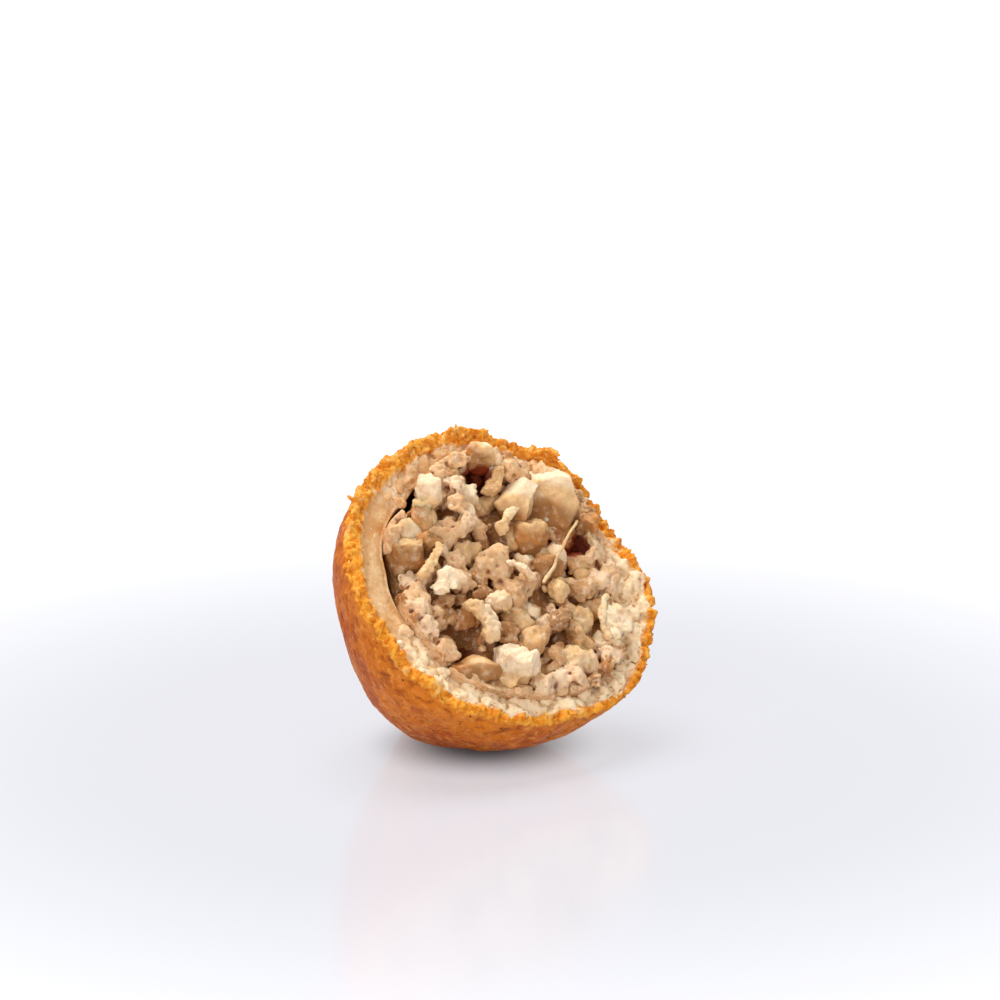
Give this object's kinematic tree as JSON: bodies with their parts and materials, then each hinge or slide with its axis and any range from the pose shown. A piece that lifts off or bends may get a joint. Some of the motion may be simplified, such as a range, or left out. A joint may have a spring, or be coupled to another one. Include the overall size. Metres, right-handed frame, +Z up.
{
  "type": "stuffed kibbeh half",
  "caption": "Broken half of a fried stuffed kibbeh: thick dough shell with a browned crust and torn rim, packed with crumbly minced filling.",
  "frame": {"origin": "centre of the bounding box, at the height of the surface that the half lies on", "axes": "+Z up, -Y the way the broken face looks, +X to the right as the broken face is seen"},
  "size_m": [0.0522, 0.0418, 0.0475],
  "materials": {
    "fried_dough": "satin",
    "cooked_mince_and_nuts": "matte"
  },
  "bodies": {
    "root": {"shell": "fried_dough", "filling": "cooked_mince_and_nuts"}
  },
  "joints": []
}
